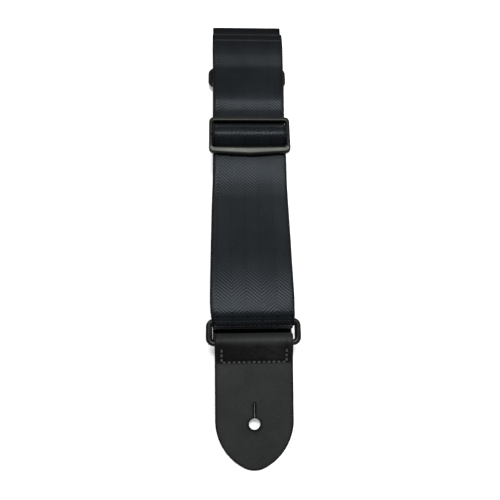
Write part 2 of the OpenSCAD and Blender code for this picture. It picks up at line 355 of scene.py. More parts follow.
# Each piece's start along the whole webbing, and the points of its neighbours next to it
chain = [("sewn", sewn_loop), ("lower", lower_loop), ("hump", front_between(Y_LOW, Y_HIGH)),
         ("upper", front_between(Y_HIGH, Y_TOP)), ("fold_1", top_fold), ("fold_2", second_fold),
         ("fold_3", third_fold), ("fold_4", fourth_fold), ("fold_5", rear_fold)]
starts = {}
so_far = 0.0
for i, (key, path) in enumerate(chain):
    starts[key] = (so_far, chain[i - 1][1][-2] if i else None, chain[i + 1][1][1] if i + 1 < len(chain) else None)
    so_far += length_of(path)


# ----------------------------------------------------------------------------------------- mesh builders
def placed(name, mesh, smooth=True):
    obj = bpy.data.objects.new(name, mesh)
    bpy.context.scene.collection.objects.link(obj)
    for p in mesh.polygons:
        p.use_smooth = smooth
    return obj


def new_object(name, verts, faces, smooth=True):
    mesh = bpy.data.meshes.new(name)
    mesh.from_pydata([tuple(map(float, v)) for v in verts], [], faces)
    mesh.update()
    return placed(name, mesh, smooth)


def recalc_normals(obj):
    bm = bmesh.new()
    bm.from_mesh(obj.data)
    bmesh.ops.recalc_face_normals(bm, faces=bm.faces)
    bm.to_mesh(obj.data)
    bm.free()


def object_of(name, bm):
    """Turns a finished bmesh into a smooth object."""
    bmesh.ops.recalc_face_normals(bm, faces=bm.faces)
    mesh = bpy.data.meshes.new(name)
    bm.to_mesh(mesh)
    bm.free()
    return placed(name, mesh)


def tube_faces(rows, cols, closed=False):
    """Quads between rows of points, each row a closed loop. closed joins the last row to the first."""
    quads = []
    for i in range(rows if closed else rows - 1):
        j = (i + 1) % rows
        for k in range(cols):
            after = (k + 1) % cols
            quads.append((i * cols + k, i * cols + after, j * cols + after, j * cols + k))
    return quads


def add_tube(bm, rings):
    """Adds a skin over rings of points, closed at both ends."""
    rings = [[bm.verts.new(p) for p in ring] for ring in rings]
    n = len(rings[0])
    for low, high in zip(rings, rings[1:]):
        for k in range(n):
            bm.faces.new((low[k], low[(k + 1) % n], high[(k + 1) % n], high[k]))
    bm.faces.new(rings[0])
    bm.faces.new(rings[-1])


def web_section(width, thick, n=40):
    """Points round the webbing's cross-section as (across, up), with slim sides and a bead at each edge."""
    half = width / 2
    even = [-half + width * i / n for i in range(2, n - 1)]
    near_edge = [half - d * MM for d in (0.12, 0.3, 0.55, 0.85, 1.15, 1.5, 1.9)]
    us = sorted(set(np.round(even + near_edge + [-u for u in near_edge], 7)))

    def up(u):
        d = half - abs(u)
        edge = math.sqrt(max(0.0, 1 - (1 - min(d / (0.7 * MM), 1)) ** 2))
        bead = 0.10 * MM * math.exp(-(((d - 0.75 * MM) / (0.38 * MM)) ** 2))
        groove = -0.13 * MM * math.exp(-(((d - 1.65 * MM) / (0.3 * MM)) ** 2))
        return (thick / 2 - 0.06 * MM) * edge + bead + groove

    return [(-half, 0.0)] + [(u, up(u)) for u in us] + [(half, 0.0)] + [(u, -up(u)) for u in reversed(us)]


SECTION = web_section(WEB_W, WEB_T)
V_RING = starts["lower"][0] + length_of(ring_end)
V_SLIDER = starts["hump"][0] + CUT
drift_at = smooth_curve(
    [V_RING - 80 * MM, V_RING, V_RING + 10 * MM, V_RING + 70 * MM, V_SLIDER - CUT, V_SLIDER + 60 * MM],
    [0, -0.3 * MM, -0.75 * MM, -0.55 * MM, 0.05 * MM, 0])


def side_drift(v):
    """Sideways wander of the webbing along its length."""
    return drift_at(v) + 0.09 * MM * math.sin(v / (31 * MM) + 2.0)


def ribbon(name, path, place, width_at=None):
    """A length of webbing round a path in Y and Z.

    place is its start along the whole webbing and its neighbours' points, as in starts.
    """
    v0, before, after = place
    pts = np.array(path, float)
    keep = [0]
    for i in range(1, len(pts)):
        if np.hypot(*(pts[i] - pts[keep[-1]])) > 0.05 * MM:
            keep.append(i)
    pts = pts[keep]
    s = distances(pts)
    # pieces that meet share the slope at their join, so that no line shows there
    longer = np.array([p for p in (before, *pts, after) if p is not None])
    first = 0 if before is None else 1
    tangent = np.gradient(longer, distances(longer), axis=0)[first:first + len(pts)]
    tangent /= np.hypot(*tangent.T)[:, None]
    normal = np.column_stack([-tangent[:, 1], tangent[:, 0]])
    verts, uvs = [], []
    for i, p in enumerate(pts):
        w = width_at(p) if width_at else 1.0
        dx = side_drift(v0 + s[i])
        for u, up in SECTION:
            q = p + normal[i] * up
            verts.append((u * w + dx, q[0], q[1]))
            uvs.append((u, v0 + s[i]))
    m = len(SECTION)
    faces = tube_faces(len(pts), m)
    sides = len(faces)
    for base in (0, (len(pts) - 1) * m):
        # end caps: quads between the upper and lower rows
        for k in range(m // 2):
            corners = (base + k, base + k + 1, base + (m - k - 1) % m, base + (m - k) % m)
            quad = tuple(dict.fromkeys(corners))
            if len(quad) > 2:
                faces.append(quad)
    obj = new_object(name, verts, faces)
    layer = obj.data.uv_layers.new(name="UVMap")
    for poly in obj.data.polygons:
        for li, vi in zip(poly.loop_indices, poly.vertices):
            layer.data[li].uv = uvs[vi]
    recalc_normals(obj)
    for poly in obj.data.polygons[sides:]:
        poly.use_smooth = False          # the flat ends leave no line where two pieces meet
    return obj


# The webbing is squeezed a little inside the slider's window, and looks wider where it bulges
SQUEEZE = (FRAME_HI[0] - FRAME_LO[0] - 2 * SIDE_WALL - 0.2 * MM) / WEB_W
front_width_at = smooth_curve(
    [FRONT_A[0]] + [y * MM for y in (-64, -56, -30, -10, 5, 20, 34, 46, 69, 82, 96, 112, 134)],
    [1.0, 1.010, 1.021, 1.014, 1.004, 0.998, 0.99, 0.978, SQUEEZE, SQUEEZE, 0.98, 0.992, 1.0, 1.01],
)


def front_width(p):
    return front_width_at(p[0])


def tail_width(p):
    return min(front_width_at(p[0]), 1.0)


def top_fold_width(p):
    return 1 + 0.01 * ease(min(max((p[0] - 110 * MM) / (24 * MM), 0), 1))


# --------------------------------------------------------------------------------------------- materials
class Nodes:
    """A material's or the world's node tree, with short ways to make and link its nodes."""

    def __init__(self, owner):
        owner.use_nodes = True
        self.tree = owner.node_tree
        self.bsdf = self.tree.nodes.get("Principled BSDF")

    def new(self, kind, **inputs):
        """A new node; names of inputs are written with _ for a space."""
        n = self.tree.nodes.new(kind)
        for name, value in inputs.items():
            n.inputs[name.replace("_", " ")].default_value = value
        return n

    def link(self, a, b):
        self.tree.links.new(a, b)

    def look(self, **sockets):
        """Sets or links the shader's own sockets."""
        for name, value in sockets.items():
            socket = self.bsdf.inputs[name.replace("_", " ")]
            if isinstance(value, bpy.types.NodeSocket):
                self.link(value, socket)
            else:
                socket.default_value = value

    def math(self, op, *values):
        n = self.new("ShaderNodeMath")
        n.operation = op
        for x, socket in zip(values, n.inputs):
            if isinstance(x, (int, float)):
                socket.default_value = x
            else:
                self.link(x, socket)
        return n.outputs[0]

    def mix(self, a, share_a, b, share_b):
        return self.math("ADD", self.math("MULTIPLY", a, share_a), self.math("MULTIPLY", b, share_b))

    def wave(self, value, pitch):
        """A sine of the given pitch, from 0 to 1."""
        sine = self.math("SINE", self.math("MULTIPLY", value, math.tau / pitch))
        return self.math("MULTIPLY_ADD", sine, 0.5, 0.5)

    def object_coords(self):
        return self.new("ShaderNodeTexCoord").outputs["Object"]

    def noise(self, vector, scale, detail, rough):
        n = self.new("ShaderNodeTexNoise", Scale=scale, Detail=detail, Roughness=rough)
        self.link(vector, n.inputs["Vector"])
        return n.outputs[0]

    def ramp(self, fac, stops):
        n = self.new("ShaderNodeValToRGB")
        e = n.color_ramp.elements
        while len(e) < len(stops):
            e.new(0.5)
        for item, (pos, col) in zip(e, stops):
            item.position = pos
            item.color = (*col, 1)
        self.link(fac, n.inputs["Fac"])
        return n.outputs["Color"]

    def bump(self, height, distance, strength, normal=None):
        n = self.new("ShaderNodeBump", Distance=distance, Strength=strength)
        self.link(height, n.inputs["Height"])
        if normal is not None:
            self.link(normal, n.inputs["Normal"])
        return n.outputs["Normal"]

    def range(self, value, lo, hi, to_lo, to_hi):
        n = self.new("ShaderNodeMapRange", From_Min=lo, From_Max=hi, To_Min=to_lo, To_Max=to_hi)
        self.link(value, n.inputs["Value"])
        return n.outputs["Result"]


def new_material(name):
    mat = bpy.data.materials.new(name)
    return mat, Nodes(mat)


RIB_PITCH = 2.2 * MM
PANEL_W = 9.0 * MM
YARN_W = 0.62 * MM
BEAD_PITCH = 1.8 * MM                 # of the cross beads along the selvage
# Middles of the two folds at the top, along the webbing, where the bent yarns shine less and painted shade darkens
# the colour
FOLD_MID = 3.0 * MM
AT_FOLD_1 = starts["fold_1"][0] + length_of(top_start) + FOLD_MID
AT_FOLD_3 = starts["fold_3"][0] + float(np.hypot(*(touch(TURN_3, H_2) - line_at(TURN_2, H_2, Y_MID)))) + FOLD_MID


def webbing_material():
    mat, n = new_material("herringbone_webbing")
    uv = n.new("ShaderNodeUVMap")
    uv.uv_map = "UVMap"
    sep = n.new("ShaderNodeSeparateXYZ")
    n.link(uv.outputs["UV"], sep.inputs[0])
    u, v = sep.outputs[0], sep.outputs[1]
    # zigzag across the width: ribs lean one way in one panel and the other way in the next
    shifted = n.math("ADD", u, PANEL_W * 20.5 - 1.2 * MM)
    zig = n.math("PINGPONG", shifted, PANEL_W)
    rib = n.wave(n.math("ADD", v, n.math("MULTIPLY", zig, 0.9)), RIB_PITCH)
    warp = n.wave(u, YARN_W)
    # the valley where two panels meet
    valley = n.range(n.math("PINGPONG", shifted, PANEL_W / 2), 0.0, 0.55 * MM, 0.0, 1.0)
    # selvage: plain edge with cross beads
    side = n.math("SUBTRACT", WEB_W / 2, n.math("ABSOLUTE", u))
    selvage = n.range(side, 1.5 * MM, 1.9 * MM, 1.0, 0.0)
    body = n.math("MULTIPLY", n.mix(rib, 0.75, warp, 0.25), n.math("MULTIPLY_ADD", valley, 0.35, 0.65))
    height = n.mix(body, n.math("SUBTRACT", 1.0, selvage), n.wave(v, BEAD_PITCH), selvage)
    coords = n.new("ShaderNodeCombineXYZ")
    n.link(u, coords.inputs[0])
    n.link(n.math("MULTIPLY", v, 0.6), coords.inputs[1])
    yarn = n.noise(coords.outputs[0], 900, 3, 0.6)
    cloudy = n.noise(coords.outputs[0], 38, 3, 0.55)
    tone = n.math("ADD", n.mix(height, 0.7, yarn, 0.3), n.math("MULTIPLY_ADD", cloudy, 0.35, -0.175))
    # the outermost yarn turns away into shade
    shade = n.range(side, 0.4 * MM, 1.9 * MM, 0.0, 1.0)
    tone = n.math("MULTIPLY", tone, shade)
    # rougher where it's folded over at the top, with painted shade darkening the colour there
    near = n.math("MINIMUM", n.math("ABSOLUTE", n.math("SUBTRACT", v, AT_FOLD_1)),
                  n.math("ABSOLUTE", n.math("SUBTRACT", v, AT_FOLD_3)))
    fold_shade_and_dull = n.range(near, 5.0 * MM, 11.0 * MM, 1.0, 0.0)
    tone = n.math("MULTIPLY", tone, n.math("MULTIPLY_ADD", fold_shade_and_dull, -0.5, 1.0))
    colour = n.ramp(tone, [(0.25, (0.0005, 0.0006, 0.0008)), (0.5, (0.0024, 0.0030, 0.0038)),
                           (0.85, (0.016, 0.0196, 0.0236))])
    rough = n.range(n.math("ADD", height, n.math("MULTIPLY", yarn, 0.4)), 0.1, 1.2, 0.38, 0.19)
    rough = n.math("ADD", rough, n.math("MULTIPLY_ADD", shade, -0.35, 0.35))
    n.look(Base_Color=colour, Roughness=n.math("MULTIPLY_ADD", fold_shade_and_dull, 0.45, rough),
           Normal=n.bump(height, 0.11 * MM, 0.9, n.bump(yarn, 0.02 * MM, 0.5)),
           Sheen_Weight=0.03, Sheen_Roughness=0.4, Sheen_Tint=(0.72, 0.82, 1.0, 1),
           Specular_IOR_Level=0.092, Specular_Tint=(0.82, 0.92, 1.0, 1))
    return mat


def leather_material():
    mat, n = new_material("smooth_leather")
    co = n.object_coords()
    pores = n.new("ShaderNodeTexVoronoi", Scale=1500)
    n.link(co, pores.inputs["Vector"])
    grain = n.noise(co, 620, 4, 0.6)
    cloudy = n.noise(co, 42, 4, 0.55)
    # the edge attribute holds the dark round the cut edges and the painted shade on the face
    edge_dark_and_painted_shade = n.new("ShaderNodeAttribute")
    edge_dark_and_painted_shade.attribute_name = "edge"
    tone = n.math("SUBTRACT", n.mix(grain, 0.4, cloudy, 0.6), n.math("MULTIPLY", edge_dark_and_painted_shade.outputs["Fac"], 0.62))
    colour = n.ramp(tone, [(0.08, (0.0008, 0.0008, 0.0007)), (0.36, (0.0118, 0.0128, 0.0126)),
                           (0.75, (0.0240, 0.0258, 0.0256))])
    coarse = n.bump(n.noise(co, 170, 3, 0.5), 0.12 * MM, 0.35)
    fine = n.bump(grain, 0.06 * MM, 0.5, coarse)
    n.look(Base_Color=colour, Roughness=n.range(tone, 0.1, 0.9, 0.6, 0.46),
           Normal=n.bump(pores.outputs[0], 0.04 * MM, 0.35, fine), Specular_IOR_Level=0.14)
    return mat


def plastic_material(name, dark, light, rough):
    mat, n = new_material(name)
    co = n.object_coords()
    cloudy = n.noise(co, 90, 4, 0.6)
    pits = n.noise(co, 1100, 2, 0.5)
    n.look(Base_Color=n.ramp(cloudy, [(0.3, dark), (0.7, light)]),
           Roughness=n.range(n.mix(cloudy, 0.6, pits, 0.4), 0.3, 0.7, rough - 0.05, rough + 0.08),
           Normal=n.bump(pits, 0.05 * MM, 0.35), Specular_Tint=(0.97, 1.0, 0.92, 1), Specular_IOR_Level=0.17)
    return mat


def thread_material():
    mat, n = new_material("sewing_thread")
    wave = n.new("ShaderNodeTexWave", Scale=900, Distortion=1.5)
    wave.bands_direction = "DIAGONAL"
    n.link(n.object_coords(), wave.inputs["Vector"])
    twist = wave.outputs["Fac"]
    n.look(Base_Color=n.ramp(twist, [(0.0, (0.004, 0.004, 0.004)), (1.0, (0.055, 0.058, 0.056))]),
           Normal=n.bump(twist, 0.06 * MM, 0.8), Roughness=0.36, Specular_IOR_Level=0.35)
    return mat


WEBBING = webbing_material()
LEATHER = leather_material()
RING_PLASTIC = plastic_material("ring_plastic", (0.002, 0.002, 0.0021), (0.005, 0.005, 0.0052), 0.30)
SLIDER_PLASTIC = plastic_material("slider_plastic", (0.0035, 0.0038, 0.0032), (0.0065, 0.0070, 0.0058), 0.31)
THREAD = thread_material()


def finish_piece(obj, mat, body, nodes):
    """Gives obj its material, hides the CAD nodes it replaces, and gives it a body to ride if one is named."""
    obj.data.materials.clear()
    obj.data.materials.append(mat)
    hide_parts(*nodes)
    if body:
        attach(obj, body)
    return obj


def across_fold(obj, h_in, h_out):
    """Bakes obj's placing into its mesh. The side, from the turn h_in to h_out into the stack, is worked out but not
    used.
    """
    side = unit(h_out) - unit(h_in)
    side /= np.hypot(*side)              # from the fold into the stack
    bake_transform(obj)


sewn = ribbon("webbing_sewn_loop", sewn_loop, starts["sewn"], tail_width)
finish_piece(sewn, WEBBING, "slider", ("webbing_slider_loop", "webbing_sewn_end"))

lower = ribbon("webbing_front_lower", lower_loop, starts["lower"], front_width)
finish_piece(lower, WEBBING, None, ("webbing_tail", "webbing_ring_wrap"))
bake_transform(lower)

over = ribbon("webbing_over_slider", front_between(Y_LOW, Y_HIGH), starts["hump"], front_width)
finish_piece(over, WEBBING, "slider", ("webbing_slider_bridge",))
front_between(Y_LOW, Y_HIGH)

upper = ribbon("webbing_front_upper", front_between(Y_HIGH, Y_TOP), starts["upper"], front_width)
finish_piece(upper, WEBBING, None, ("webbing_front",))
front_between(Y_HIGH, Y_TOP)
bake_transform(upper)

for name, key, path, a, b, t, h_in, h_out, inner, nodes, rests in (
    ("webbing_top_fold", "fold_1", top_fold, "front_run", "first_layer", TURN_1, H_FRONT, H_1, 1.3 * MM,
     ("webbing_fold_1", "webbing_layer_1"), ["webbing_second_fold"]),
    ("webbing_second_fold", "fold_2", second_fold, "first_layer", "second_layer", TURN_2, H_1, H_2, 1.6 * MM,
     ("webbing_fold_2", "webbing_layer_2"), ["webbing_third_fold"]),
    ("webbing_third_fold", "fold_3", third_fold, "second_layer", "third_layer", TURN_3, H_2, H_3, 0.3 * MM,
     ("webbing_fold_3", "webbing_layer_3"), ["webbing_fourth_fold"]),
    ("webbing_fourth_fold", "fold_4", fourth_fold, "third_layer", "bottom_layer", TURN_4, H_3, H_4, 0.4 * MM,
     ("webbing_fold_4", "webbing_layer_4"), ["rear_leather"]),
    ("webbing_rear_fold", "fold_5", rear_fold, "bottom_layer", "rear_run", TURN_5, H_4, H_5, 0.8 * MM,
     ("webbing_fold_5", "webbing_rear_end"), ["rear_ring"]),
):
    piece = ribbon(name, path, starts[key], top_fold_width if key == "fold_1" else None)
    finish_piece(piece, WEBBING, None, nodes)
    across_fold(piece, h_in, h_out)


# ------------------------------------------------------------------------------------------ leather ends
TAB_W = box("front_leather_end")[1][0] - box("front_leather_end")[0][0]
TAB_L = math.hypot(FRONT_TAB_BAR[0] - box("front_leather_end")[0][1], FRONT_TAB_BAR[1])
TAB_TILT = math.asin(FRONT_TAB_BAR[1] / TAB_L)
LEATHER_T = 2.0 * MM
TAB_SLACK = 0.8 * MM                  # between the ring's bar and the leather's loop
LOOP_MID = ROD_R + TAB_SLACK + LEATHER_T / 2
LOOP_LOOSE = 0.7 * MM                 # how much wider the front leather's loop is than the CAD's
TIP_R = 14 * MM
NOSE = 30 * MM
HOLE_S = TAB_L - 27.2 * MM            # from the bar to the button hole's centre
HOLE_R = 3.4 * MM
SLIT_L = 10 * MM
SLIT_W = 0.16 * MM
FLAP_L = 14 * MM
SEAM_X = 19.4 * MM                    # U of stitches: its side rows, and how far from the bar its cross row is
SEAM_S = 11.2 * MM


def nose_half_width(s):
    """Half the leather's width at a distance s from the bar along the face: an ogive with a round tip."""
    half = TAB_W / 2
    reach = NOSE - TIP_R
    side_r = (reach**2 + half**2 - TIP_R**2) / (2 * (half - TIP_R))
    blend = math.atan2(reach, side_r - half)
    shoulder = TAB_L - NOSE
    if s <= shoulder:
        return half
    if s >= TAB_L:
        return 0.0
    if s - shoulder <= side_r * math.sin(blend):
        return half - side_r + math.sqrt(side_r**2 - (s - shoulder) ** 2)
    return math.sqrt(max(0.0, TIP_R**2 - (s - (TAB_L - TIP_R)) ** 2))


def leather_centre(loose):
    """Middle of the leather as (s, up), from the flap's end round the bar to the tip, s from the bar."""
    meet = 9.0 * MM
    ply = LEATHER_T / 2 + 0.03 * MM
    low = [(FLAP_L, -ply), (meet + 0.6 * MM, -ply), (6.4 * MM, -1.9 * MM), (3.6 * MM, -3.0 * MM)]
    angles = range(-62, -301, -12)
    loop = [((LOOP_MID + loose) * math.cos(math.radians(a)) - loose, (LOOP_MID + loose) * math.sin(math.radians(a)))
            for a in angles]
    high = [(3.3 * MM, 2.7 * MM + 1.15 * loose), (6.2 * MM, 1.8 * MM + 1.15 * loose), (meet, 1.25 * MM + 0.5 * loose),
            (SEAM_S, ply - 0.08 * MM), (FLAP_L + 3 * MM, ply), (TAB_L, ply)]
    return smoothed(low + loop + high, step=0.5 * MM, rounds=10)


def painted_recess_shade(s, x):
    """Painted shade on the ply from the loop's crest to the stitches, most along the stitches."""
    into = min(max((s + 6.0 * MM) / (8.0 * MM), 0), 1)
    out = min(max((SEAM_S + 0.9 * MM - s) / (0.5 * MM), 0), 1)
    from_row = min(abs(s - SEAM_S) if abs(x) < SEAM_X + 0.5 * MM else 1, abs(abs(x) - SEAM_X))
    return (0.66 + 0.34 * math.exp(-((from_row / (0.9 * MM)) ** 2))) * into * out


def leather_end(name, mirrored=False):
    """One leather end round its ring's bar, with a button hole and a slit, drawn from the bar to -Y."""
    path = leather_centre(0 if mirrored else LOOP_LOOSE)
    s = distances(path)
    total = s[-1]
    # steps along and across, closer together near the cut edges
    end_d = [0, 0.08, 0.22, 0.42, 0.7, 1.1, 1.7]
    at = sorted(set([d * MM for d in end_d] + [total - d * MM for d in end_d]
                    + list(np.arange(2.4 * MM, total - 2.4 * MM, 0.7 * MM))))
    across = sorted(set([round(x, 4) for x in np.linspace(-0.93, 0.93, 45)]
                        + [k * e for k in (-1, 1) for e in (1.0, 0.9965, 0.989, 0.978, 0.964, 0.948)]))
    tangent = np.gradient(path, s, axis=0)
    tangent /= np.hypot(*tangent.T)[:, None]
    edge_r = 0.75 * MM
    nose = NOSE + 6 * MM
    outline = np.array([(nose_half_width(x), x) for x in TAB_L - nose * np.linspace(1, 0, 200) ** 2])

    def edge_distance(x, along, from_flap):
        """Distance to the nearest cut edge, from_flap being the distance to the flap's end."""
        d = min(TAB_W / 2 - abs(x), from_flap)
        if along > TAB_L - nose and from_flap > TAB_L * 0.6:
            d = min(d, float(np.min(np.hypot(outline[:, 0] - abs(x), outline[:, 1] - along))))
        return max(d, 0.0)

    verts_top, verts_low = [], []
    for dist, p, t in zip(at, between(at, s, path), between(at, s, tangent)):
        t = t / np.hypot(*t)
        nrm = np.array([-t[1], t[0]])
        on_face = dist > total * 0.45     # past the middle of the loop
        half = max(nose_half_width(p[0]) if on_face else TAB_W / 2, 0.02 * MM)
        for share in across:
            x = share * half
            d = edge_distance(x, p[0] if on_face else 0.0, dist)
            up = LEATHER_T / 2 * math.sqrt(max(0.0, 1 - (1 - min(d / edge_r, 1)) ** 2) * 0.94 + 0.06 * (d > 0))
            # a very faint softness of the surface
            soft_up = 0.05 * MM * math.sin(x / (4.7 * MM) + 1.0) * math.sin(dist / (8.3 * MM))
            q, r = p + nrm * (up + soft_up), p - nrm * (up - soft_up)
            verts_top.append((x, -q[0], q[1]))
            verts_low.append((x, -r[0], r[1]))
    rows, cols = len(at), len(across)
    faces = []
    n = rows * cols
    for i in range(rows - 1):
        for k in range(cols - 1):
            a = i * cols + k
            faces.append((a, a + 1, a + cols + 1, a + cols))
            faces.append((n + a + cols, n + a + cols + 1, n + a + 1, n + a))
    for i in range(rows - 1):
        for k in (0, cols - 1):
            a = i * cols + k
            faces.append((a, a + cols, n + a + cols, n + a))
    for k in range(cols - 1):
        for i in (0, rows - 1):
            a = i * cols + k
            faces.append((a, a + 1, n + a + 1, n + a))
    obj = new_object(name, verts_top + verts_low, faces)
    recalc_normals(obj)
    cut(obj, hole_cutter())
    # dark round every cut edge, and painted shade on the face from the loop's crest to the stitches
    dark = []
    for vert in obj.data.vertices:
        x, along, z = vert.co.x, -vert.co.y, vert.co.z
        face = z > -0.3 * MM
        d = edge_distance(x, along if face else 0.0, 1.0 if face else max(FLAP_L - along, 0))
        rim = math.hypot(x, along - HOLE_S) - HOLE_R
        d = min(d, max(rim, 0), abs(x) if 0 < HOLE_S - along < HOLE_R + SLIT_L else 1)
        dark.append(max(math.exp(-((d / (1.2 * MM)) ** 2)), painted_recess_shade(along, x) if face else 0.0))
    attr = obj.data.attributes.new("edge", "FLOAT", "POINT")
    attr.data.foreach_set("value", np.array(dark, np.float32))
    if mirrored:
        mirror(obj)
    return obj


def mirror(obj):
    """Turns a piece upside down, as a mirror image."""
    obj.data.transform(Matrix.Diagonal((1, 1, -1, 1)))
    obj.data.flip_normals()


def cut(obj, cutter):
    """Takes cutter out of obj."""
    mod = obj.modifiers.new("cut", "BOOLEAN")
    mod.operation = "DIFFERENCE"
    mod.solver = "EXACT"
    mod.object = cutter
    deps = bpy.context.evaluated_depsgraph_get()
    mesh = bpy.data.meshes.new_from_object(obj.evaluated_get(deps))
    mesh.name = obj.name
    old = obj.data
    obj.modifiers.clear()
    obj.data = mesh
    bpy.data.meshes.remove(old)
    bpy.data.objects.remove(cutter, do_unlink=True)


def hole_cutter():
    """A punch for the button hole and its slit, a little wider at both faces of the leather."""
    # (height from the leather's middle, extra radius)
    levels = [(-2.2, 0.9), (-1.02, 0.32), (-0.8, 0.06), (-0.5, 0), (0.5, 0), (0.8, 0.06), (1.02, 0.32), (2.2, 0.9)]
    around = 40
    top = HOLE_R + SLIT_L
    verts = []
    for z, extra in levels:
        r = HOLE_R + extra * MM
        w = SLIT_W / 2 + extra * MM * 0.35
        a0 = math.asin(min(w / r, 1))
        angles = [a0 + (math.tau - 2 * a0) * i / around for i in range(around + 1)]
        pts = [(r * math.sin(a), r * math.cos(a)) for a in angles]
        pts += [(-w, top - 1.5 * MM), (-w * 0.3, top), (w * 0.3, top), (w, top - 1.5 * MM)]
        verts += [(x, -HOLE_S + y, LEATHER_T / 2 + z * MM) for x, y in pts]
    m = len(pts)
    faces = tube_faces(len(levels), m)
    faces += [tuple(range(m)), tuple(range((len(levels) - 1) * m, len(levels) * m))]
    obj = new_object("punch", verts, faces)
    recalc_normals(obj)
    return obj


def put(obj, at, tilt):
    """Places a piece drawn round the origin at a bar, tilted about X."""
    obj.data.transform(Matrix.Translation((0, at[0], at[1])) @ Matrix.Rotation(tilt, 4, "X"))
    return obj


REAR_TILT = math.asin((REAR_TAB_BAR[1] - LEATHER_T) / TAB_L)
front_tab = put(leather_end("front_leather"), FRONT_TAB_BAR, TAB_TILT)
finish_piece(front_tab, LEATHER, "front_leather", ("front_leather_end",))
rear_tab = put(leather_end("rear_leather_piece", mirrored=True), REAR_TAB_BAR, REAR_TILT)
finish_piece(rear_tab, LEATHER, "rear_leather", ("rear_leather_end",))


# ------------------------------------------------------------------------------------------- stitching
def stitch(bm, a, b, up, radius):
    """One stitch from a to b: a short round thread whose ends dive into the surface."""
    a, b, up = Vector(a), Vector(b), Vector(up).normalized()
    along = b - a
    side = along.cross(up).normalized()
    rings = []
    steps, around = 8, 8
    for i in range(steps + 1):
        t = i / steps
        arch = math.sin(math.pi * t) ** 0.6
        c = a + along * t + up * (radius * (1.15 * arch - 0.55))
        r = radius * (0.72 + 0.28 * arch)
        rings.append([c + side * (r * math.cos(q)) + up * (r * math.sin(q))
                      for q in (k * math.tau / around for k in range(around))])
    add_tube(bm, rings)


def stitches(name, rows, pitch, length, radius):
    """rows: lists of points (x, y, z) with the outward direction there, followed at an even pitch."""
    bm = bmesh.new()
    for pts, ups in rows:
        pts = [Vector(p) for p in pts]
        s = [0.0]
        for p, q in zip(pts, pts[1:]):
            s.append(s[-1] + (q - p).length)
        count = max(1, round(s[-1] / pitch))

        def at(d):
            i = min(max(int(np.searchsorted(s, d)) - 1, 0), len(pts) - 2)
            t = (d - s[i]) / (s[i + 1] - s[i])
            return pts[i].lerp(pts[i + 1], t), Vector(ups[i]).lerp(Vector(ups[i + 1]), t)

        for k in range(count):
            mid = s[-1] * (k + 0.5) / count
            wobble = Vector((random.uniform(-1, 1), random.uniform(-1, 1), 0)) * 0.07 * MM
            p, _ = at(mid - length / 2)
            q, _ = at(mid + length / 2)
            _, up = at(mid)
            stitch(bm, p + wobble, q - wobble, up, radius)
    return object_of(name, bm)


def leather_seam(name, at, tilt, mirrored=False):
    """U-shaped row on the face, and the same row on the flap's outer side."""
    path = leather_centre(0 if mirrored else LOOP_LOOSE)
    tangent = np.gradient(path, axis=0)
    tangent /= np.hypot(*tangent.T)[:, None]
    nrm = np.column_stack([-tangent[:, 1], tangent[:, 0]])
    nrm *= -1 if nrm[-1][1] < 0 else 1
    outer = path + nrm * LEATHER_T / 2
    face_from = len(path) * 0.3
    top = [i for i, (s, z) in enumerate(path) if i > face_from and 0.5 * MM < s < SEAM_S and z > 0]
    flap = [i for i, (s, z) in enumerate(path) if i < face_from and 6 * MM < s < SEAM_S - 0.4 * MM and z < 0]
    rows = []
    for side in (-1, 1):
        for group in (top, flap):
            rows.append(([(side * SEAM_X, -outer[i][0], outer[i][1]) for i in group],
                         [(0, -nrm[i][0], nrm[i][1]) for i in group]))
    for i in (top[-1], flap[0]):
        z = outer[i][1]
        up = (0, 0, 1 if z > 0 else -1)
        rows.append(([(-SEAM_X, -SEAM_S, z), (SEAM_X, -SEAM_S, z)], [up, up]))
    obj = stitches(name, rows, pitch=2.9 * MM, length=2.1 * MM, radius=0.76 * MM)
    if mirrored:
        mirror(obj)
    return put(obj, at, tilt)


finish_piece(leather_seam("front_leather_stitching", FRONT_TAB_BAR, TAB_TILT), THREAD,
             "front_leather", ("front_end_stitching",))
finish_piece(leather_seam("rear_leather_stitching", REAR_TAB_BAR, REAR_TILT, True), THREAD,
             "rear_leather", ("rear_end_stitching",))


def cross_rows(name, rows, radius):
    """Rows of stitches straight across the webbing. rows: (y, z, up) for each."""
    x = WEB_W / 2 - 4 * MM
    made = [([(-x, y, z), (x, y, z)], [(0, 0, up), (0, 0, up)]) for y, z, up in rows]
    return stitches(name, made, pitch=3.2 * MM, length=2.4 * MM, radius=radius)


# thin and sunk in, so that they clear the layer below as the slider moves
sewn_rows = [(p[0], p[1] - WEB_T / 2 + 0.12 * MM, -1) for p in (sewn_end[3], sewn_end[8])]
finish_piece(cross_rows("slider_seam_threads", sewn_rows, 0.2 * MM), THREAD, "slider",
             ("slider_seam_stitching",))
rear_rows = [(REAR_BAR[0] + d * MM, z, up) for d in (12, 18)
             for z, up in ((flap_z - WEB_T / 2, -1), (touch(TURN_5, H_5)[1] + WEB_T / 2, 1))]
finish_piece(cross_rows("rear_seam_threads", rear_rows, 0.33 * MM), THREAD, "rear_run",
             ("rear_seam_stitching",))


